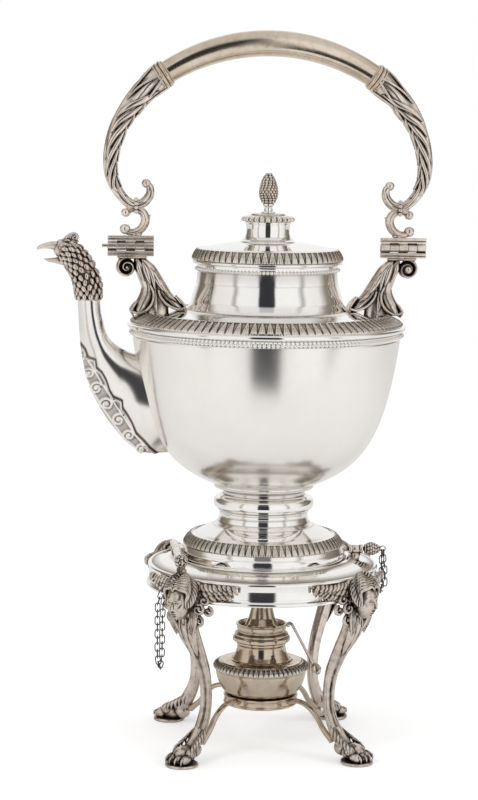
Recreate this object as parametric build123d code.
from build123d import *
import math
import os

# Spirit kettle on a stand. Millimetres, +Z up. The origin is on the floor under the kettle's axis.
# The spout points to -X, the handle spans X, and the hinge pin's cone faces -Y.

# Feet, legs and apron ring of the stand
pad_height = 2.0
pad_radius = 10.3
foot_circle_radius = 76.9
paw_height = 13.0
paw_length = 22.0
paw_width = 18.0
apron_radius = 73.6
apron_bottom = 102.5
apron_height = 14.0
apron_wall = 1.8
ring_rise = 5.0
ring_wall = 1.8
leg_waist_inset = 21.5
leg_thickness = 7.2
leg_breadth = 7.0
leg_head_thickness = 11.0

# Seat of the kettle in the stand
foot_rim_radius = 52.0
foot_rim_height = 6.3
seat_clearance = 0.8
seat_depth = 1.3
ledge_width = 7.0

# Masks on the leg heads
head_height = 19.0
head_width = 13.5
head_depth = 12.0
mask_height = 103.5
wing_reach = 34.0

# Cradle that holds the burner
cradle_radius = 23.7
cradle_wall = 2.2
cradle_height = 6.5
cradle_top = 31.7
stretcher_thickness = 3.8
stretcher_breadth = 4.4

# Tilting hinge and lock pin
tilt_axis_rise = 9.5
tilt_pin_radius = 1.2
tilt_knuckle_radius = 2.6
tilt_hinge_front = 40.0
tilt_hinge_back = 16.0
tilt_kettle_knuckle = 9.0
pin_tail = 5.0
pin_head_gap = 0.6
lock_axis_rise = 8.1
lock_pin_radius = 1.3
lock_lug_start = 55.0
lock_lug_length = 9.0
lock_gap = 0.3
lock_head_gap = 1.4
cone_radius = 4.4
cone_length = 10.0

# Chains
link_wire = 0.7
link_length = 6.2
link_width = 3.6
link_play = 0.5
eye_radius = 1.9
eye_wire = 0.45
anchor_radius = 0.8

# Kettle foot
stem_radius = 27.7
neck_radius = 25.5
foot_wall = 1.6
flare_height = 20.5
torus_radius = 27.2
torus_thickness = 4.4
foot_border_radius = 50.0
foot_border_width = 4.5

# Kettle bowl, shoulder and neck
bowl_bottom = 167.0
bowl_bottom_radius = 30.5
bowl_rim = 262.0
bowl_radius = 84.0
bowl_wall = 1.6
shoulder_overhang = 3.1
shoulder_lip = 268.0
shoulder_border_radius = 74.0
shoulder_border_top = 275.4
neck_foot_radius = 48.0
neck_foot = 278.0
mouth_radius = 43.4
mouth_height = 306.1
neck_wall = 1.6
bead_wire_radius = 0.9
bead_wire_gap = 0.45

# Spout and bird head
spout_wall = 1.3
spout_reach = 111.3
spout_top = 283.0
spout_top_radius = 7.0
spout_base_height = 60.0
spout_base_width = 34.0
plaque_thickness = 1.2
bird_bore = 4.4
head_bottom_radius = 8.4
beak_reach = 143.0
beak_rise = 31.5
mouth_gap = 4.8

# Handle, its hinges and brackets
handle_axis_height = 316.4
hinge_centre = 85.6
hinge_length = 28.7
knuckle_radius = 2.75
knuckle_count = 5
knuckle_gap = 0.15
leaf_height = 3.2
leaf_depth = 5.4
leaf_offset = 3.1
hinge_pin_radius = 1.1
hinge_pin_stub = 3.4
grip_rise = 133.6
grip_thickness = 16.0
grip_end_thickness = 14.0
collar_reach = 66.6
collar_rise = 105.2
collar_thickness = 17.8
collar_length = 3.6
arm_reach = 98.5
arm_end_thickness = 5.6
scroll_thickness = 4.2
bracket_breadth = 13.0
bracket_foot_reach = 17.0

# Lid
plug_depth = 8.0
lid_clearance = 0.3
lid_wall = 1.6
lid_lip_radius = 46.9
lid_lip_height = 2.2
lid_border_height = 6.5
lid_border_width = 3.6
lid_rise = 5.8
knop_radius = 12.9
knop_height = 12.7
gadroon_radius = 16.3
gadroon_height = 4.0
finial_radius = 6.5
finial_height = 19.8
finial_stem_radius = 2.4
finial_stem_height = 5.5
bolt_radius = 1.6

# Burner
burner_clearance = 0.5
reservoir_radius = 28.0
reservoir_height = 19.0
reservoir_wall = 1.2
burner_border_radius = 30.1
burner_border_height = 3.2
burner_neck_radius = 15.5
burner_neck_base = 19.4
burner_neck_height = 11.6
burner_ring_radius = 18.3
burner_ring_height = 6.4
dish_radius = 16.15
dish_depth = 5.2
dish_wall = 1.2
flame_cone_base = 12.5
flame_cone_top = 6.0
flame_cone_height = 20.0
flame_cone_wall = 0.8
wick_radius = 3.2
wick_tube_wall = 0.9
wick_tube_height = 21.0
wick_stand = 2.5
lever_azimuth = -12.0
lever_drop = 28.0
lever_breadth = 4.0
lever_thickness = 1.6
knob_radius = 4.4

# Clearances between moving pieces
running_clearance = 0.05
free_clearance = 0.4

# Sizes that follow from the ones above
apron_top = apron_bottom + apron_height
tilt_axis_height = apron_top + tilt_axis_rise
lock_axis_height = apron_top + lock_axis_rise
ring_inner_radius = foot_rim_radius + seat_clearance
ring_top = apron_top + ring_rise
seat_height = ring_top - seat_depth
eye_reach = eye_radius - eye_wire * 0.5
tilt_axis_x = -(ring_inner_radius + tilt_knuckle_radius)
torus_height = bowl_bottom - 11.6
foot_rim_top = seat_height + foot_rim_height
flare_top = foot_rim_top + flare_height
reservoir_base = cradle_top - cradle_height + 1.5
reservoir_top = cradle_top + reservoir_height
burner_neck_top = reservoir_top + burner_border_height + burner_neck_height
wick_tube_top = burner_neck_top + wick_tube_height
leaf_top = handle_axis_height + leaf_offset + leaf_height
leaf_bottom = handle_axis_height - leaf_offset - leaf_height
shoulder_lip_radius = bowl_radius + shoulder_overhang
beak_height = spout_top + beak_rise
grip_top = handle_axis_height + grip_rise
collar_height = handle_axis_height + collar_rise
lid_top = mouth_height + lid_lip_height + lid_border_height + lid_rise
leg_azimuths = {"front_left": 225, "front_right": 315, "back_right": 45, "back_left": 135}


def turned(points):
    """Solid of revolution about the kettle's axis from a closed outline of (radius, height) points."""
    outline = Polyline(*[(radius, 0, height) for radius, height in points], close=True)
    return revolve(make_face(outline), Axis.Z)


def curved_turned(outer, inner):
    """Turned shell between two open profile curves that lie in the XZ plane."""
    bottom = Line(outer @ 0, inner @ 0)
    top = Line(outer @ 1, inner @ 1)
    return revolve(make_face([outer, top, inner, bottom]), Axis.Z)


def torus_ring(radius, height, wire_radius):
    """Round wire ring about the kettle's axis."""
    return Pos(0, 0, height) * Torus(radius, wire_radius)


def spheroid(centre, radii):
    """Ball stretched to three radii."""
    return Pos(*centre) * scale(Sphere(1), by=radii)


def oval(breadth, thickness):
    """Oval section that always starts at the same side, whichever of its radii is the longer."""
    return scale(Circle(1), by=(breadth, thickness, 1))


def limb(stations):
    """Smooth limb in the XZ plane through ellipses of (x, z, half thickness, half breadth)."""
    sections = []
    last = len(stations) - 1
    for index, (x, z, thickness, breadth) in enumerate(stations):
        before = stations[max(index - 1, 0)]
        after = stations[min(index + 1, last)]
        along = (after[0] - before[0], 0, after[1] - before[1])
        plane = Plane(origin=(x, 0, z), x_dir=(0, 1, 0), z_dir=along)
        sections.append(plane * oval(breadth, thickness))
    return loft(sections)


def rod(start, end, radius):
    """Straight round bar between two points."""
    along = Vector(*end) - Vector(*start)
    plane = Plane(origin=start, z_dir=along)
    return extrude(plane * Circle(radius), along.length)


def largest(shape):
    """The biggest solid of a shape, without the crumbs that a cut can leave."""
    return max(shape.solids(), key=lambda solid: solid.volume)


def plate(points, breadth, centre_y=0):
    """Flat piece cut to an outline of (x, z) points, centred on a Y value."""
    outline = Polyline(*[(x, centre_y - breadth / 2, z) for x, z in points], close=True)
    return extrude(make_face(outline), breadth, dir=(0, 1, 0))


def save(shape, name):
    export_step(shape, "parts/" + name + ".step")


def make_stand_ring():
    """Spun apron ring with the stepped seat that the kettle's foot stands in."""
    edge = apron_radius - 0.5
    points = [
        (apron_radius, apron_bottom),
        (edge - 0.9, apron_bottom + apron_height * 0.45),
        (edge - 0.3, apron_top - 1.4),
        (edge - 1.2, apron_top),
        (ring_inner_radius + 1.2, ring_top),
        (ring_inner_radius, ring_top - 0.3),
        (ring_inner_radius, seat_height),
        (foot_rim_radius - ledge_width, seat_height),
        (foot_rim_radius - ledge_width, seat_height - ring_wall),
        (ring_inner_radius + ring_wall, seat_height - ring_wall),
        (edge - 1.2 - apron_wall, apron_top - ring_wall),
        (edge - 0.9 - apron_wall, apron_bottom + apron_height * 0.45),
        (apron_radius - apron_wall, apron_bottom),
    ]
    return turned(points)


def make_leg():
    """Cabriole leg in the +X plane, from under the apron to the paw, deep at its head."""
    low = paw_height * 0.75
    high = apron_bottom - 1.0
    slim = leg_thickness / 2
    deep = leg_head_thickness / 2
    broad = leg_breadth / 2
    profile = [
        (0.00, 9.5, slim * 1.3, broad * 1.25),
        (0.10, 17.0, slim * 1.12, broad * 1.1),
        (0.22, leg_waist_inset, slim, broad),
        (0.36, leg_waist_inset + 0.6, slim, broad),
        (0.50, 18.0, slim * 1.1, broad * 1.05),
        (0.64, 12.0, slim * 1.25, broad * 1.15),
        (0.80, 5.0, deep * 0.95, broad * 1.3),
        (0.92, 2.0, deep, broad * 1.4),
        (1.00, 1.0, deep, broad * 1.4),
    ]
    stations = []
    for share, inset, thickness, breadth in profile:
        radius = foot_circle_radius * (1 - share) + apron_radius * share - inset
        stations.append((radius, low + share * (high - low), thickness, breadth))
    return limb(stations)


def make_paw():
    """Lion paw on its round pad, toes outward along +X."""
    pad = Pos(foot_circle_radius, 0, pad_height / 2) * Cylinder(pad_radius, pad_height)
    body = spheroid(
        (foot_circle_radius - 2.0, 0, pad_height + 3.0),
        (paw_length * 0.42, paw_width * 0.38, paw_height - pad_height - 3.0),
    )
    paw = pad + body
    toe_radius = paw_width * 0.17
    for step in (-1.5, -0.5, 0.5, 1.5):
        toe_x = foot_circle_radius + paw_length * (0.26 - 0.035 * step * step)
        toe_y = step * paw_width * 0.22
        toe_z = pad_height + toe_radius * 0.9
        paw += spheroid((toe_x, toe_y, toe_z), (toe_radius * 1.35, toe_radius, toe_radius * 1.15))
    heel_x = foot_circle_radius - paw_length * 0.55
    paw += spheroid((heel_x, 0, pad_height + 4.5), (6.5, 4.6, 4.0))
    below = Pos(foot_circle_radius, 0, -20) * Box(80, 80, 40)
    return largest(paw - below)


def make_mask():
    """Winged head in the round that hides the leg's joint with the apron, facing +X."""
    face_x = apron_radius + 6.0
    head = spheroid((face_x, 0, mask_height - 2), (head_depth / 2, head_width / 2, head_height / 2))
    hair = spheroid((face_x - 3.0, 0, mask_height + 4.0), (7.0, 11.0, 11.5))
    locks = spheroid((face_x - 4.5, 0, mask_height - 5.0), (5.5, 11.5, 8.0))
    nose_tip = face_x + head_depth / 2 + 1.5
    nose = plate(
        [
            (face_x + 3.5, mask_height + 1.2),
            (nose_tip, mask_height - 3.6),
            (face_x + 3.5, mask_height - 4.4),
        ],
        2.2,
    )
    mask = head + hair + locks + nose
    for side in (-1, 1):
        for step in range(4):
            turn = math.degrees((8.0 + step * (wing_reach - 8.0) / 3) / apron_radius) * side
            size = 6.2 - step * 0.9
            feather = spheroid((apron_radius + 0.8, 0, mask_height + 4.5 - step * 0.6), (2.6, 7.0, size))
            mask += Rot(0, 0, turn) * feather
    return mask


def make_cradle():
    """Ring that holds the reservoir, with a small inner ledge under it."""
    bottom = cradle_top - cradle_height
    inner = cradle_radius - cradle_wall
    points = [
        (cradle_radius, bottom),
        (cradle_radius, cradle_top),
        (inner, cradle_top),
        (inner, reservoir_base),
        (inner - 3.0, reservoir_base),
        (inner - 3.0, bottom),
    ]
    return turned(points)


def make_stretcher():
    """Flat arched strut from the cradle down to the leg's foot, in the +X plane."""
    half = stretcher_thickness / 2
    broad = stretcher_breadth / 2
    crest = cradle_top - 0.8
    span = foot_circle_radius - cradle_radius
    stations = [
        (cradle_radius - 1.2, crest - 1.6, half, broad),
        (cradle_radius + span * 0.13, crest, half, broad),
        (cradle_radius + span * 0.27, crest - 1.8, half, broad),
        (cradle_radius + span * 0.40, crest - 7.0, half, broad),
        (cradle_radius + span * 0.51, crest - 14.5, half, broad),
        (cradle_radius + span * 0.64, crest - 20.5, half, broad),
    ]
    return limb(stations)


def lug(x, y, length, height, radius, bore):
    """Hinge barrel along Y on a web that reaches down into the ring."""
    barrel = Pos(x, y, height) * Rot(90, 0, 0) * Cylinder(radius, length)
    web_depth = height - apron_top
    web = Pos(x, y, height - web_depth / 2) * Box(radius * 1.4, length, web_depth)
    hole = Pos(x, y, height) * Rot(90, 0, 0) * Cylinder(bore, length + 1)
    return barrel + web - hole


def pine_cone(radius, length):
    """Bud-shaped knob along +Z that starts at z = 0, with rings of scales worn smooth."""
    curve = Spline((radius * 0.55, 0, 0), (radius, 0, length * 0.38), (radius * 0.2, 0, length))
    closing = Polyline((radius * 0.2, 0, length), (0, 0, length), (0, 0, 0), (radius * 0.55, 0, 0))
    return revolve(make_face([curve, closing]), Axis.Z)


def make_link():
    """Oval wire link with its length along Z, its width along X and its hole facing Y."""
    end_radius = (link_width - link_wire) / 2
    half_straight = link_length / 2 - link_wire / 2 - end_radius
    upper_half = Pos(0, 0, 10) * Box(20, 20, 20)
    bend = Pos(0, 0, half_straight) * (Rot(90, 0, 0) * Torus(end_radius, link_wire / 2) & upper_half)
    link = bend + Rot(0, 180, 0) * bend
    for side in (-1, 1):
        link += Pos(side * end_radius, 0, 0) * Cylinder(link_wire / 2, half_straight * 2)
    return link


def link_places(points, hole_axis):
    """Places of the links along a route whose ends lie on the middles of the wires that they hold.

    The first link's hole faces along hole_axis, and each link is turned a quarter from the one before.
    """
    pitch = link_length - 2 * link_wire - link_play
    wire_reach = (link_length - link_wire - pitch) / 2
    hold = link_wire / 2 + eye_wire + link_play / 2 - wire_reach
    first = Vector(*points[0])
    last = Vector(*points[-1])
    start = first - (Vector(*points[1]) - first).normalized() * hold
    end = last + (last - Vector(*points[-2])).normalized() * hold
    route = Polyline(start, *points[1:-1], end)
    count = math.ceil(route.length / pitch)
    places = []
    for number in range(count):
        here = route @ (number / count)
        along = route @ ((number + 1) / count) - here
        across = along.cross(Vector(*hole_axis)).normalized()
        plane = Plane(origin=here + along * 0.5, x_dir=across, z_dir=along)
        places.append(plane.location * Rot(0, 0, 90 * (number % 2)))
    return places


def make_anchor(last_link):
    """Wire eye that the last link holds, on a stub from the apron."""
    wire_at = link_length / 2 - link_wire - eye_wire - link_play / 2
    loop = last_link * Pos(0, 0, wire_at + eye_radius) * Rot(0, 90, 0) * Torus(eye_radius, eye_wire)
    far = (last_link * Pos(0, 0, wire_at + eye_radius * 2)).position
    turn = math.atan2(far.Y, far.X)
    root_radius = apron_radius - 1.0
    root = (root_radius * math.cos(turn), root_radius * math.sin(turn), far.Z)
    return loop + rod(root, (far.X, far.Y, far.Z), anchor_radius)


def spout_stations(shrink):
    """Sections of the spout from inside the bowl's wall to its top, drawn in by a wall."""
    reach = spout_reach
    base = spout_base_height / 2
    side = spout_base_width / 2
    foot = spout_top - 65.0
    top = spout_top_radius
    stations = [
        (reach - 61.0, foot - 1.0, base, side),
        (reach - 34.0, foot, base, side),
        (reach - 18.0, foot + 10.5, base * 0.80, side * 0.84),
        (reach - 7.2, foot + 25.0, base * 0.58, side * 0.66),
        (reach - 3.0, foot + 39.5, base * 0.36, side * 0.52),
        (reach - 0.9, foot + 53.5, top * 1.07, top * 1.05),
        (reach, foot + 65.0, top, top),
    ]
    return [(-x, z, half - shrink, broad - shrink) for x, z, half, broad in stations]


def spout_flow(shrink):
    """Spout solid through its stations, with each section square to the flow."""
    turns = [0, 2, 8, 18, 40, 72, 90]
    sections = []
    for (x, z, half, broad), turn in zip(spout_stations(shrink), turns):
        along = (-math.cos(math.radians(turn)), 0, math.sin(math.radians(turn)))
        plane = Plane(origin=(x, 0, z), x_dir=(0, 1, 0), z_dir=along)
        sections.append(plane * oval(broad, half))
    return loft(sections)


def make_bird_head():
    """Bird's neck and head over the spout's end, bored through to the open beak."""
    neck = limb(
        [
            (-spout_reach, spout_top - 1.5, head_bottom_radius, head_bottom_radius),
            (-spout_reach - 0.8, spout_top + 8, head_bottom_radius + 0.1, head_bottom_radius),
            (-spout_reach - 3.5, spout_top + 17, head_bottom_radius + 0.4, head_bottom_radius),
            (-spout_reach - 9.5, spout_top + 26, head_bottom_radius + 0.4, head_bottom_radius - 0.6),
            (-spout_reach - 16, spout_top + 31, head_bottom_radius, head_bottom_radius - 1.2),
        ]
    )
    skull_x = -(beak_reach - 16.5)
    skull = spheroid((skull_x, 0, beak_height - 0.6), (8.8, 6.6, 7.2))
    crest = spheroid((-spout_reach - 10.5, 0, spout_top + 37.5), (3.6, 3.4, 4.2))
    upper_beak = plate(
        [
            (skull_x, beak_height + 4.6),
            (skull_x - 8.0, beak_height + 3.2),
            (-beak_reach, beak_height),
            (-beak_reach + 1.8, beak_height - 1.4),
            (skull_x - 6.0, beak_height - 1.4),
            (skull_x, beak_height - 2.0),
        ],
        4.6,
    )
    lower_top = beak_height - mouth_gap
    lower_beak = plate(
        [
            (skull_x + 2, lower_top - 1.4),
            (skull_x - 6, lower_top - 1.0),
            (-beak_reach + 4.6, lower_top - 1.8),
            (-beak_reach + 6.0, lower_top - 3.6),
            (skull_x + 2, lower_top - 4.8),
        ],
        4.6,
    )
    head = neck + skull + crest + upper_beak + lower_beak
    bore = limb(
        [
            (-spout_reach, spout_top - 4, bird_bore, bird_bore),
            (-spout_reach - 0.8, spout_top + 8, bird_bore, bird_bore),
            (-spout_reach - 4.0, spout_top + 17, bird_bore, bird_bore),
            (-spout_reach - 10.0, spout_top + 24, bird_bore * 0.8, bird_bore),
            (skull_x, beak_height - mouth_gap / 2 - 1.4, mouth_gap / 2, bird_bore * 0.8),
        ]
    )
    mouth_length = beak_reach + skull_x + 6
    mouth = Pos(skull_x - mouth_length / 2 + 0.5, 0, beak_height - mouth_gap / 2 - 1.4)
    head = head - bore - mouth * Box(mouth_length, 5.2, mouth_gap)
    return head


def make_bracket():
    """Acanthus bracket on the +X side, from its two feet on the shoulder up to the hinge leaf."""
    centre = hinge_centre
    foot = shoulder_border_top
    outline = [
        (centre - 9.5, leaf_bottom),
        (centre + 7.5, leaf_bottom),
        (centre + 8.6, leaf_bottom - 3.0),
        (centre + 8.4, leaf_bottom - 8.0),
        (centre + 5.0, leaf_bottom - 12.4),
        (centre + 0.5, leaf_bottom - 12.6),
        (centre - 2.6, leaf_bottom - 9.6),
        (centre - 6.6, leaf_bottom - 14.6),
        (centre - 7.6, leaf_bottom - 24.0),
        (centre - 4.6, foot + 4.6),
        (centre - 0.6, foot + 1.2),
        (centre - 1.5, foot - 4.0),
        (centre - 9.0, foot - 4.0),
        (centre - 13.5, foot + 4.2),
        (centre - bracket_foot_reach - 9.0, foot + 1.6),
        (centre - bracket_foot_reach - 10.0, foot - 4.0),
        (centre - bracket_foot_reach - 17.6, foot - 4.0),
        (centre - bracket_foot_reach - 17.0, foot + 2.6),
        (centre - bracket_foot_reach - 6.2, leaf_bottom - 19.0),
        (centre - 16.5, leaf_bottom - 9.0),
    ]
    body = plate(outline, bracket_breadth)
    waist = Pos(centre - 12, 0, (leaf_bottom + foot) / 2 - 3)
    for side in (-1, 1):
        hollow = waist * Pos(0, side * (bracket_breadth / 2 + 6.5), 0) * Rot(0, 20, 0) * Cylinder(8, 60)
        body -= hollow
    return body


def hinge_leaf(side, upper):
    """One leaf of a handle hinge with its knuckles, on the side of the given sign."""
    centre_x = side * hinge_centre
    step = hinge_length / knuckle_count
    rise = leaf_offset + leaf_height / 2
    leaf_z = handle_axis_height + (rise if upper else -rise)
    leaf = Pos(centre_x, 0, leaf_z) * Box(hinge_length, leaf_depth, leaf_height)
    first = 1 if upper else 0
    for number in range(first, knuckle_count, 2):
        x = centre_x - hinge_length / 2 + (number + 0.5) * step
        length = step - 2 * knuckle_gap
        barrel = Pos(x, 0, handle_axis_height) * Rot(0, 90, 0) * Cylinder(knuckle_radius, length)
        web_z = (handle_axis_height + leaf_z) / 2
        web = Pos(x, 0, web_z) * Box(length, knuckle_radius * 1.3, abs(leaf_z - handle_axis_height))
        leaf += barrel + web
    bore_radius = hinge_pin_radius + (running_clearance if upper else 0)
    bore = Pos(centre_x, 0, handle_axis_height) * Rot(0, 90, 0) * Cylinder(bore_radius, hinge_length + 2)
    return leaf - bore


def make_arm():
    """Leaf-wrapped arm on the +X side, from the collar down to the hook's curl."""
    reach = arm_reach
    axis = handle_axis_height
    half = collar_thickness / 2 - 1.2
    thin = arm_end_thickness / 2
    stations = [
        (collar_reach + 0.5, collar_height - 0.4, half, half),
        (reach - 20.5, axis + 95.0, half * 0.96, half * 0.90),
        (reach - 11.6, axis + 84.8, half * 0.84, half * 0.80),
        (reach - 5.6, axis + 75.0, half * 0.74, half * 0.70),
        (reach - 1.4, axis + 62.0, half * 0.62, half * 0.60),
        (reach, axis + 49.0, half * 0.52, half * 0.52),
        (reach - 2.0, axis + 39.0, thin * 1.25, thin * 1.25),
        (reach - 7.0, axis + 30.5, thin * 1.1, thin * 1.1),
        (reach - 13.5, axis + 25.6, thin, thin),
        (reach - 20.0, axis + 26.4, thin, thin),
        (reach - 24.2, axis + 31.0, thin, thin),
        (reach - 24.6, axis + 35.6, thin * 0.9, thin * 0.9),
    ]
    curl = spheroid((reach - 22.6, 0, axis + 38.4), (thin * 1.15, thin * 1.15, thin * 1.15))
    return limb(stations) + curl


def make_drop_scroll():
    """Small C scroll on the +X side that hangs from the arm's hook and stands on the hinge leaf."""
    half = scroll_thickness / 2
    x = hinge_centre
    z = leaf_top
    stations = [
        (x + 2.4, z + 15.4, half * 0.9, half * 0.9),
        (x - 2.8, z + 16.8, half * 0.9, half * 0.9),
        (x - 7.4, z + 14.2, half, half),
        (x - 9.0, z + 9.4, half, half),
        (x - 6.8, z + 4.6, half * 1.1, half * 1.1),
        (x - 2.0, z + 2.0, half * 1.1, half * 1.1),
        (x + 3.0, z + 2.6, half * 1.1, half * 1.1),
    ]
    top_ball = spheroid((x + 3.2, 0, z + 14.6), (3.0, 3.0, 3.0))
    low_ball = spheroid((x + 3.6, 0, z + 3.8), (3.4, 3.4, 3.4))
    foot = Pos(x - 3.6, 0, z + 1.1) * Box(7.0, 4.0, 2.2)
    return limb(stations) + top_ball + low_ball + foot


def make_grip():
    """Hollow curved grip that thins towards both collars."""
    sweep_height = grip_top - grip_thickness / 2
    sag = sweep_height - collar_height
    arc_radius = (collar_reach ** 2 + sag ** 2) / (2 * sag)
    half_turn = math.degrees(math.asin(collar_reach / arc_radius))
    sections = []
    for share in (-1, -0.66, -0.33, 0, 0.33, 0.66, 1):
        turn = math.radians(share * half_turn)
        centre = (arc_radius * math.sin(turn), 0, sweep_height - arc_radius * (1 - math.cos(turn)))
        along = (math.cos(turn), 0, -math.sin(turn))
        thickness = grip_thickness + (grip_end_thickness - grip_thickness) * share * share
        plane = Plane(origin=centre, x_dir=(0, 1, 0), z_dir=along)
        sections.append(plane * Circle(thickness / 2))
    return loft(sections)


def make_collar():
    """Collar on the +X end of the grip, square to the grip's curve."""
    sag = grip_top - grip_thickness / 2 - collar_height
    arc_radius = (collar_reach ** 2 + sag ** 2) / (2 * sag)
    turn = math.asin(collar_reach / arc_radius)
    along = (math.cos(turn), 0, -math.sin(turn))
    plane = Plane(origin=(collar_reach, 0, collar_height), x_dir=(0, 1, 0), z_dir=along)
    disc = plane * Cylinder(collar_thickness / 2, collar_length)
    return disc


def mirrored(shape):
    """The same piece on the other side of the kettle."""
    return mirror(shape, about=Plane.YZ)


def make_kettle_foot():
    """Stem, torus, flared base and leaf border of the kettle's foot."""
    stem_low = flare_top
    stem = turned(
        [
            (stem_radius, stem_low),
            (stem_radius, torus_height - torus_thickness),
            (neck_radius, torus_height - torus_thickness + 1.6),
            (neck_radius, bowl_bottom - 3.2),
            (bowl_bottom_radius - 1.4, bowl_bottom - 2.0),
            (bowl_bottom_radius, bowl_bottom - 0.9),
            (bowl_bottom_radius, bowl_bottom),
            (neck_radius - foot_wall, bowl_bottom),
            (neck_radius - foot_wall, stem_low),
        ]
    )
    torus = largest(torus_ring(torus_radius, torus_height, torus_thickness) - stem)
    border_top = foot_border_radius - foot_border_width
    base = turned(
        [
            (foot_rim_radius, seat_height),
            (foot_rim_radius, foot_rim_top - 1.2),
            (foot_rim_radius - 0.8, foot_rim_top),
            (foot_border_radius, foot_rim_top + 2.6),
            (border_top, foot_rim_top + 8.2),
            (border_top - 4.0, foot_rim_top + 10.2),
            (border_top - 9.0, foot_rim_top + 12.5),
            (border_top - 14.0, foot_rim_top + 14.8),
            (stem_radius + 0.8, foot_rim_top + 17.4),
            (stem_radius, stem_low),
            (stem_radius - foot_wall, stem_low),
            (stem_radius - foot_wall, foot_rim_top + 15.4),
            (border_top - 14.8, foot_rim_top + 12.8),
            (border_top - 9.6, foot_rim_top + 10.4),
            (border_top - 4.8, foot_rim_top + 8.2),
            (foot_border_radius - foot_wall * 1.5, foot_rim_top + 1.4),
            (foot_rim_radius - foot_wall * 1.5, foot_rim_top - 1.6),
            (foot_rim_radius - foot_wall * 1.5, seat_height + foot_wall),
            (foot_rim_radius - ledge_width, seat_height + foot_wall),
            (foot_rim_radius - ledge_width, seat_height),
        ]
    )
    border = turned(
        [
            (foot_border_radius, foot_rim_top + 2.6),
            (foot_border_radius + 0.4, foot_rim_top + 3.6),
            (border_top + 0.9, foot_rim_top + 8.6),
            (border_top, foot_rim_top + 8.2),
        ]
    )
    return stem, torus, base, border


def make_bowl():
    """Bowl shell with a plain disc bottom; its side is one smooth curve."""
    belly = (bowl_radius - bowl_bottom_radius) * 0.52
    depth = bowl_rim - bowl_bottom
    outer = Bezier(
        (bowl_bottom_radius, 0, bowl_bottom),
        (bowl_bottom_radius + belly, 0, bowl_bottom + depth * 0.119),
        (bowl_radius - 8.7, 0, bowl_bottom + depth * 0.243),
        (bowl_radius, 0, bowl_rim),
    )
    inner = Bezier(
        (bowl_bottom_radius, 0, bowl_bottom + bowl_wall),
        (bowl_bottom_radius + belly, 0, bowl_bottom + depth * 0.119 + bowl_wall),
        (bowl_radius - 8.7 - bowl_wall, 0, bowl_bottom + depth * 0.243 + bowl_wall * 0.6),
        (bowl_radius - bowl_wall, 0, bowl_rim),
    )
    shell = curved_turned(outer, inner)
    disc = Pos(0, 0, bowl_bottom + bowl_wall / 2) * Cylinder(bowl_bottom_radius, bowl_wall)
    close = Polyline((bowl_radius, 0, bowl_rim), (0, 0, bowl_rim), (0, 0, bowl_bottom), outer @ 0)
    filled = revolve(make_face([outer, close]), Axis.Z)
    return shell + disc, filled


def make_shoulder():
    """Shoulder and neck shell from the bowl's rim up to the mouth."""
    wall = neck_wall
    points = [
        (bowl_radius, bowl_rim),
        (bowl_radius + 0.6, shoulder_lip - 3.0),
        (shoulder_lip_radius, shoulder_lip - 1.6),
        (shoulder_lip_radius, shoulder_lip),
        (shoulder_lip_radius - 2.6, shoulder_lip + 1.2),
        (shoulder_border_radius, shoulder_border_top - 0.8),
        (neck_foot_radius + 3.0, neck_foot - 1.2),
        (neck_foot_radius - 0.4, neck_foot + 4.5),
        (mouth_radius + 2.6, neck_foot + 10.5),
        (mouth_radius + 0.9, neck_foot + 16.0),
        (mouth_radius, mouth_height - 4.4),
        (mouth_radius + 0.7, mouth_height - 1.6),
        (mouth_radius + 0.7, mouth_height),
        (mouth_radius - wall, mouth_height),
        (mouth_radius - wall, neck_foot + 12.0),
        (mouth_radius + 0.4, neck_foot + 8.0),
        (neck_foot_radius - 2.0, neck_foot + 2.5),
        (neck_foot_radius + 2.0, neck_foot - 1.2 - wall * 1.6),
        (shoulder_border_radius - 0.4, shoulder_border_top - 0.8 - wall),
        (shoulder_lip_radius - 4.0, shoulder_lip - 1.6),
        (bowl_radius - bowl_wall, shoulder_lip - 3.6),
        (bowl_radius - bowl_wall, bowl_rim),
    ]
    return turned(points)


def make_lid():
    """Lid cover, leaf border and plug flange, seated on the mouth."""
    seat = mouth_height
    lip_top = seat + lid_lip_height
    top_radius = lid_lip_radius - lid_border_width
    crown = lip_top + lid_border_height
    border = turned(
        [
            (lid_lip_radius - 0.9, lip_top),
            (lid_lip_radius, lip_top),
            (lid_lip_radius + 0.1, lip_top + 1.2),
            (top_radius + 1.2, crown),
            (top_radius, crown - 0.2),
        ]
    )
    outer = Spline((top_radius, 0, crown), (top_radius * 0.6, 0, crown + lid_rise * 0.72), (0, 0, lid_top))
    side = Polyline(
        (top_radius, 0, crown),
        (top_radius, 0, crown - 0.2),
        (lid_lip_radius - 0.9, 0, lip_top),
        (lid_lip_radius, 0, lip_top - 0.2),
        (lid_lip_radius, 0, seat),
        (mouth_radius - neck_wall - lid_clearance, 0, seat),
        (mouth_radius - neck_wall - lid_clearance, 0, crown - lid_wall * 1.6),
    )
    inner_top = lid_top - lid_wall
    inner = Spline(
        (mouth_radius - neck_wall - lid_clearance, 0, crown - lid_wall * 1.6),
        (top_radius * 0.6, 0, crown + lid_rise * 0.72 - lid_wall),
        (0, 0, inner_top),
    )
    axis_line = Line((0, 0, inner_top), (0, 0, lid_top))
    cover = revolve(make_face([outer, side, inner, axis_line]), Axis.Z)
    plug_radius = mouth_radius - neck_wall - lid_clearance
    plug = turned(
        [
            (plug_radius, seat),
            (plug_radius, seat - plug_depth),
            (plug_radius - lid_wall, seat - plug_depth),
            (plug_radius - lid_wall, seat + 3.0),
            (plug_radius, seat + 3.0),
        ]
    )
    return cover, border, plug


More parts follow.
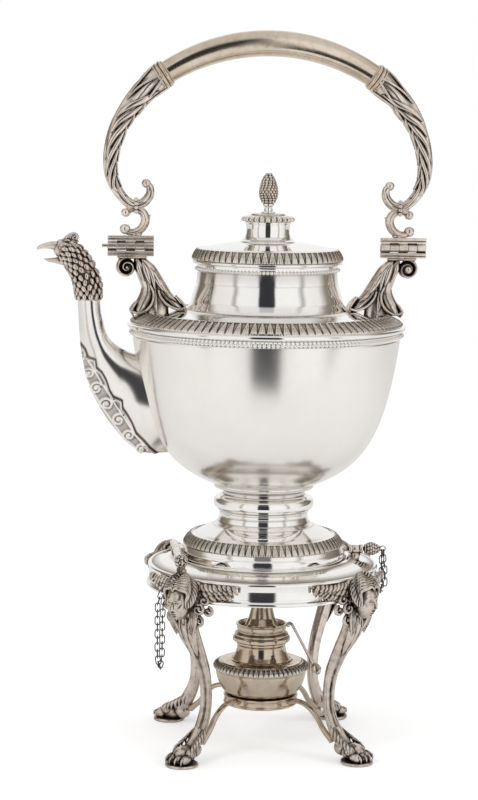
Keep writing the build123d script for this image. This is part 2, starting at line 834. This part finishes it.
def make_lid_knop():
    """Turned cup, gadrooned ring and pine cone finial on the lid, with the nut below."""
    base = lid_top - 1.2
    ring_base = base + knop_height
    ring_upper = ring_base + gadroon_height
    knop = turned(
        [
            (0, base - 2.0),
            (knop_radius + 2.4, base - 2.0),
            (knop_radius + 1.4, base + 1.2),
            (knop_radius + 0.1, base + 3.2),
            (knop_radius, base + 5.4),
            (knop_radius + 0.4, base + 8.0),
            (knop_radius + 1.8, ring_base),
            (0, ring_base),
        ]
    )
    gadroon = turned(
        [
            (0, ring_base),
            (gadroon_radius - 1.0, ring_base),
            (gadroon_radius, ring_base + 1.4),
            (gadroon_radius - 0.6, ring_base + 2.8),
            (gadroon_radius - 3.2, ring_upper - 0.4),
            (gadroon_radius - 6.2, ring_upper),
            (gadroon_radius - 6.4, ring_upper + 1.0),
            (0, ring_upper + 1.2),
        ]
    )
    cone_base = ring_upper + 1.2 + finial_stem_height
    stem = Pos(0, 0, cone_base - finial_stem_height / 2) * Cylinder(finial_stem_radius, finial_stem_height)
    cone = Pos(0, 0, cone_base) * pine_cone(finial_radius, finial_height)
    bolt_bottom = lid_top - 9.0
    bolt = Pos(0, 0, (bolt_bottom + cone_base) / 2) * Cylinder(bolt_radius, cone_base - bolt_bottom)
    finial = stem + cone + bolt
    hole = Pos(0, 0, base) * Cylinder(bolt_radius, 80)
    nut_face = Pos(0, 0, lid_top - lid_wall - 3.0) * RegularPolygon(4.0, 6)
    nut = extrude(nut_face, 3.0)
    return knop - hole, gadroon - hole, finial, nut, hole


def make_burner():
    """Reservoir, leaf border, neck with wick tube, and wick."""
    inner = cradle_radius - cradle_wall
    low = cradle_top + 0.6
    spigot = inner - burner_clearance
    wall = reservoir_wall
    top = reservoir_top
    reservoir = turned(
        [
            (0, reservoir_base),
            (spigot, reservoir_base),
            (spigot, low),
            (reservoir_radius - 3.6, low + 4.0),
            (reservoir_radius - 1.2, low + 8.2),
            (reservoir_radius, low + 13.4),
            (reservoir_radius, top - 3.4),
            (burner_border_radius - 0.8, top - 3.0),
            (burner_border_radius - 0.8, top),
            (burner_neck_base - 1.4, top),
            (burner_neck_base - 1.4, top - wall),
            (reservoir_radius - wall, top - wall),
            (reservoir_radius - wall, low + 13.4),
            (reservoir_radius - 1.2 - wall, low + 8.4),
            (reservoir_radius - 3.6 - wall, low + 4.4),
            (spigot - wall, low + 0.4),
            (spigot - wall, reservoir_base + wall),
            (0, reservoir_base + wall),
        ]
    )
    slope = burner_border_height
    border = turned(
        [
            (burner_neck_base + 0.2, top),
            (burner_border_radius - 0.8, top),
            (burner_border_radius - 0.8, top - 2.4),
            (burner_border_radius, top - 1.6),
            (burner_border_radius - 0.2, top + 0.4),
            (burner_border_radius - 3.8, top + 1.6),
            (burner_neck_base + 0.2, top + slope),
        ]
    )
    neck_low = top
    plug = burner_neck_base - 1.4 - free_clearance
    tube_radius = wick_radius + wick_tube_wall
    neck = turned(
        [
            (plug - wall, neck_low - 2.6),
            (plug, neck_low - 2.6),
            (plug, neck_low),
            (burner_neck_base - 0.2, neck_low),
            (burner_neck_base - 0.2, neck_low + slope),
            (burner_neck_radius + 1.4, neck_low + slope + 3.3),
            (burner_neck_radius, neck_low + slope + 7.0),
            (burner_neck_radius, burner_neck_top),
            (tube_radius, burner_neck_top),
            (tube_radius, wick_tube_top),
            (wick_radius, wick_tube_top),
            (wick_radius, burner_neck_top - wall),
            (burner_neck_radius - wall, burner_neck_top - wall),
            (burner_neck_radius - wall, neck_low + slope + 7.0),
            (plug - wall, neck_low + slope),
        ]
    )
    wick_bottom = reservoir_base + wall + 2.0
    wick_top = wick_tube_top + wick_stand
    wick = Pos(0, 0, (wick_bottom + wick_top) / 2) * Cylinder(wick_radius, wick_top - wick_bottom)
    return reservoir, border, neck, wick


def make_regulator():
    """Moulded ring with its dish, the flame cone in the dish, and the lever with its knob."""
    low = burner_neck_top
    bush = wick_radius + wick_tube_wall + running_clearance
    floor = low + burner_ring_height + 0.8
    rim = low + burner_ring_height + dish_depth
    dish = turned(
        [
            (bush, low),
            (burner_ring_radius - 1.8, low),
            (burner_ring_radius, low + 1.0),
            (burner_ring_radius, low + 3.0),
            (burner_ring_radius - 1.2, low + 4.2),
            (burner_ring_radius - 1.0, low + 5.2),
            (dish_radius - 1.2, low + burner_ring_height),
            (dish_radius - 0.4, rim - 3.0),
            (dish_radius - 0.2, rim - 1.2),
            (dish_radius + 0.3, rim),
            (dish_radius - dish_wall, rim),
            (dish_radius - dish_wall - 1.0, floor),
            (bush, floor),
        ]
    )
    top = floor + flame_cone_height
    cone_outer = Spline(
        (flame_cone_base, 0, floor),
        (flame_cone_top + 2.4, 0, floor + 8.0),
        (flame_cone_top, 0, top),
    )
    cone_inner = Spline(
        (flame_cone_base - flame_cone_wall, 0, floor),
        (flame_cone_top + 2.4 - flame_cone_wall, 0, floor + 8.0),
        (flame_cone_top - flame_cone_wall, 0, top),
    )
    cone = curved_turned(cone_outer, cone_inner)
    hinge_x = dish_radius + 0.9
    hinge_z = rim - 0.6
    knob_x = burner_border_radius + knob_radius + 0.5
    knob_z = hinge_z - lever_drop
    along = Vector(knob_x - hinge_x, 0, knob_z - hinge_z)
    plane = Plane(origin=(hinge_x, 0, hinge_z), x_dir=(0, 1, 0), z_dir=along)
    bar = extrude(plane * Rectangle(lever_breadth, lever_thickness), along.length)
    clasp = Pos(hinge_x - 0.4, 0, hinge_z - 1.4) * Box(2.2, lever_breadth + 1.6, 5.0)
    turn = Rot(0, 0, lever_azimuth)
    lever = turn * largest(bar + clasp - dish)
    knob = turn * spheroid((knob_x, 0, knob_z), (knob_radius, knob_radius, knob_radius)) - lever
    return dish, cone, [lever, largest(knob)]


def make_hinge_pin():
    """Tilting hinge's pin with its pine cone head and end eye, along Y."""
    x = tilt_axis_x
    z = tilt_axis_height
    head = -(tilt_hinge_front + pin_head_gap)
    shaft = rod((x, head, z), (x, tilt_hinge_back + pin_tail, z), tilt_pin_radius)
    cone = Pos(x, head, z) * Rot(90, 0, 0) * pine_cone(cone_radius, cone_length)
    eye = Pos(x, head - cone_length - eye_reach, z) * Rot(0, 90, 0) * Torus(eye_radius, eye_wire)
    return shaft + cone + eye


def make_lock_pin():
    """Lock pin with its pine cone head and end eye, along X."""
    z = lock_axis_height
    head = lock_lug_start + lock_lug_length + lock_head_gap
    shaft = rod((foot_rim_radius + lock_gap, 0, z), (head, 0, z), lock_pin_radius)
    cone = Pos(head, 0, z) * Rot(0, 90, 0) * pine_cone(cone_radius, cone_length)
    eye = Pos(head + cone_length + eye_reach, 0, z) * Rot(90, 0, 0) * Torus(eye_radius, eye_wire)
    return shaft + cone + eye


os.makedirs("parts", exist_ok=True)

# Stand
ring = make_stand_ring()
paw = make_paw()
leg = largest(make_leg() - ring - paw)
mask = largest(make_mask() - ring - leg)
cradle = make_cradle()
stretcher = largest(make_stretcher() - cradle - leg - paw)
save(ring, "stand_ring")
for corner, azimuth in leg_azimuths.items():
    turn = Rot(0, 0, azimuth)
    save(turn * leg, "leg_" + corner)
    save(turn * mask, "mask_" + corner)
    save(turn * paw, "paw_" + corner)
save(cradle, "burner_cradle")
save(Compound([Rot(0, 0, azimuth) * stretcher for azimuth in leg_azimuths.values()]), "cradle_stretchers")

tilt_bore = tilt_pin_radius + running_clearance
front_start = -tilt_kettle_knuckle - knuckle_gap * 2
front_length = tilt_hinge_front + front_start
front_lug = lug(
    tilt_axis_x, front_start - front_length / 2, front_length, tilt_axis_height, tilt_knuckle_radius, tilt_bore
)
back_length = tilt_hinge_back + front_start
back_lug = lug(
    tilt_axis_x, -front_start + back_length / 2, back_length, tilt_axis_height, tilt_knuckle_radius, tilt_bore
)
save(Compound([largest(front_lug - ring), largest(back_lug - ring)]), "tilt_hinge_lugs")

lock_centre = lock_lug_start + lock_lug_length / 2
lock_web_depth = lock_axis_height - apron_top
lock_lug = Pos(lock_centre, 0, lock_axis_height) * Rot(0, 90, 0) * Cylinder(tilt_knuckle_radius, lock_lug_length)
lock_lug += Pos(lock_centre, 0, lock_axis_height - lock_web_depth / 2) * Box(lock_lug_length, 3.6, lock_web_depth)
lock_bore = Pos(lock_centre, 0, lock_axis_height) * Rot(0, 90, 0)
lock_lug -= lock_bore * Cylinder(lock_pin_radius + running_clearance, lock_lug_length + 1)
save(largest(lock_lug - ring), "lock_lug")

# Kettle
stem, torus, base, foot_border = make_kettle_foot()
knuckle_bottom = ring_top + free_clearance
knuckle = Pos(tilt_axis_x, 0, tilt_axis_height) * Rot(90, 0, 0) * Cylinder(tilt_knuckle_radius, tilt_kettle_knuckle * 2)
web_height = tilt_axis_height + 1.0 - knuckle_bottom
web_length = -tilt_axis_x - foot_rim_radius + 4.0
knuckle += Pos(tilt_axis_x + web_length / 2, 0, knuckle_bottom + web_height / 2) * Box(web_length, 14, web_height)
knuckle -= Pos(tilt_axis_x, 0, tilt_axis_height) * Rot(90, 0, 0) * Cylinder(tilt_bore, 60)
lock_socket = Pos(foot_rim_radius, 0, lock_axis_height) * Rot(0, 90, 0) * Cylinder(lock_pin_radius + 0.2, 8)
base = largest(base - lock_socket)
save(stem, "foot_stem")
save(torus, "foot_torus")
save(base, "foot_base")
save(foot_border, "foot_leaf_border")
save(largest(knuckle - base - foot_border), "foot_hinge_knuckle")

bowl, filled_bowl = make_bowl()
shoulder = make_shoulder()
outer_spout = spout_flow(0)
bowl_hole = spout_flow(spout_wall + 4.0)
save(bowl - bowl_hole, "bowl")
save(shoulder, "shoulder")
border_slope = turned(
    [
        (shoulder_lip_radius - 2.6, shoulder_lip + 1.2),
        (shoulder_lip_radius - 2.1, shoulder_lip + 1.9),
        (shoulder_border_radius + 0.2, shoulder_border_top + 0.1),
        (shoulder_border_radius, shoulder_border_top - 0.8),
    ]
)
save(border_slope, "shoulder_leaf_border")
wire_reach = bead_wire_radius + bead_wire_gap
shoulder_wire = torus_ring(bowl_radius + wire_reach, bowl_rim + 0.6, bead_wire_radius)
mouth_wire = torus_ring(mouth_radius + wire_reach, mouth_height - 3.4, bead_wire_radius)
save(Compound([shoulder_wire, mouth_wire]), "bead_wires")

spout = largest(outer_spout - spout_flow(spout_wall) - filled_bowl)
bird_head = largest(make_bird_head() - outer_spout)
plaque_region = plate(
    [
        (-spout_reach - 9.0, spout_top - 26.0),
        (-spout_reach - 11.0, spout_top - 60.0),
        (-spout_reach + 4.0, spout_top - 86.0),
        (-spout_reach + 26.0, spout_top - 106.0),
        (-spout_reach + 46.0, spout_top - 106.0),
        (-spout_reach + 38.0, spout_top - 91.4),
        (-spout_reach + 28.8, spout_top - 82.0),
        (-spout_reach + 24.8, spout_top - 69.2),
        (-spout_reach + 21.3, spout_top - 61.1),
        (-spout_reach + 15.0, spout_top - 59.9),
        (-spout_reach + 10.3, spout_top - 48.2),
        (-spout_reach + 4.5, spout_top - 41.3),
        (-spout_reach + 4.3, spout_top - 35.5),
        (-spout_reach - 3.2, spout_top - 27.3),
    ],
    80,
)
plaque = largest((spout_flow(-plaque_thickness) - outer_spout - filled_bowl) & plaque_region)
save(spout, "spout_tube")
save(bird_head, "bird_head")
save(plaque, "spout_scroll_plaque")

bracket = largest(make_bracket() - shoulder - border_slope)
lower_leaf_right = hinge_leaf(1, False)
lower_leaf_left = hinge_leaf(-1, False)
save(bracket, "handle_bracket_right")
save(mirrored(bracket), "handle_bracket_left")
save(Compound([lower_leaf_left, lower_leaf_right]), "lower_hinge_leaves")
handle_pins = []
for side in (-1, 1):
    inner_end = side * (hinge_centre - hinge_length / 2)
    outer_end = side * (hinge_centre + hinge_length / 2 + (hinge_pin_stub if side < 0 else 0.0))
    start = (inner_end, 0, handle_axis_height)
    end = (outer_end, 0, handle_axis_height)
    handle_pins.append(rod(start, end, hinge_pin_radius))
save(Compound(handle_pins), "handle_hinge_pins")

# Handle
upper_leaves = [hinge_leaf(-1, True), hinge_leaf(1, True)]
collar = make_collar()
arm = largest(make_arm() - collar)
scroll = largest(make_drop_scroll() - arm - upper_leaves[1])
grip = largest(make_grip() - collar - mirrored(collar))
save(Compound(upper_leaves), "upper_hinge_leaves")
save(Compound([mirrored(collar), collar]), "grip_collars")
save(arm, "handle_arm_right")
save(mirrored(arm), "handle_arm_left")
save(scroll, "drop_scroll_right")
save(mirrored(scroll), "drop_scroll_left")
save(grip, "handle_grip")

# Lid
cover, lid_border, plug = make_lid()
knop, gadroon, finial, nut, hole = make_lid_knop()
cover = cover - hole
nut = nut - hole
save(largest(cover - nut - plug), "lid_cover")
save(lid_border, "lid_leaf_border")
save(plug, "lid_plug_flange")
save(largest(knop - cover), "lid_knop")
save(gadroon, "lid_gadroon_ring")
save(finial, "pine_cone_finial")
save(nut, "finial_nut")

# Burner
reservoir, burner_border, burner_neck, wick = make_burner()
dish, flame_cone, lever_pieces = make_regulator()
save(reservoir, "burner_reservoir")
save(burner_border, "burner_leaf_border")
save(burner_neck, "burner_neck")
save(wick, "wick")
save(dish, "regulator_dish")
save(flame_cone, "flame_cone")
save(Compound(lever_pieces), "regulator_lever")

# Pins and their chains
hinge_pin = make_hinge_pin()
lock_pin = make_lock_pin()
save(hinge_pin, "tilt_hinge_pin")
save(lock_pin, "lock_pin")
link = make_link()
tilt_eye_y = -(tilt_hinge_front + pin_head_gap + cone_length + eye_reach)
tilt_route = [
    (tilt_axis_x, tilt_eye_y - eye_radius * 0.6, tilt_axis_height - eye_radius * 0.8),
    (-59.0, -56.4, 120.6),
    (-63.4, -54.8, 114.0),
    (-66.4, -51.0, 104.0),
    (-66.8, -48.6, 94.0),
    (-66.8, -47.8, 66.0),
    (-67.16, -46.84, 63.5),
    (-68.0, -44.6, 59.0),
    (-68.84, -42.36, 63.5),
    (-69.2, -41.4, 66.0),
    (-69.4, -41.0, 92.0),
    (-69.2, -41.2, 99.6),
    (-66.8, -40.6, 106.0),
]
tilt_links = link_places(tilt_route, (0, 0.8, -0.6))
save(Compound([place * link for place in tilt_links]), "tilt_pin_chain")

lock_eye_x = lock_lug_start + lock_lug_length + lock_head_gap + cone_length + eye_reach
lock_eye_low = lock_axis_height - eye_radius
lock_route = [
    (lock_eye_x - 0.6, 0, lock_eye_low + 0.1),
    (lock_eye_x - 1.0, -2.4, lock_eye_low - 5.6),
    (lock_eye_x - 1.4, -4.2, 110.0),
    (lock_eye_x - 1.4, -5.8, 103.5),
    (lock_eye_x - 1.8, -7.6, 99.9),
    (lock_eye_x - 2.4, -10.4, 99.0),
    (lock_eye_x - 3.4, -13.4, 99.9),
    (lock_eye_x - 4.2, -15.6, 102.4),
]
lock_tail = [
    (lock_eye_x + 0.6, 0, lock_eye_low + 0.1),
    (lock_eye_x + 1.0, 2.4, lock_eye_low - 5.6),
    (lock_eye_x + 2.0, 2.8, 112.0),
    (lock_eye_x + 2.2, 2.4, 101.0),
]
lock_links = link_places(lock_route, (1, 0, 0))
tail_links = link_places(lock_tail, (1, 0, 0))
save(Compound([place * link for place in lock_links + tail_links]), "lock_pin_chain")

left_mask = Rot(0, 0, leg_azimuths["front_left"]) * mask
right_mask = Rot(0, 0, leg_azimuths["front_right"]) * mask
left_anchor = largest(make_anchor(tilt_links[-1]) - ring - left_mask)
right_anchor = largest(make_anchor(lock_links[-1]) - ring - right_mask)
save(Compound([left_anchor, right_anchor]), "chain_anchors")
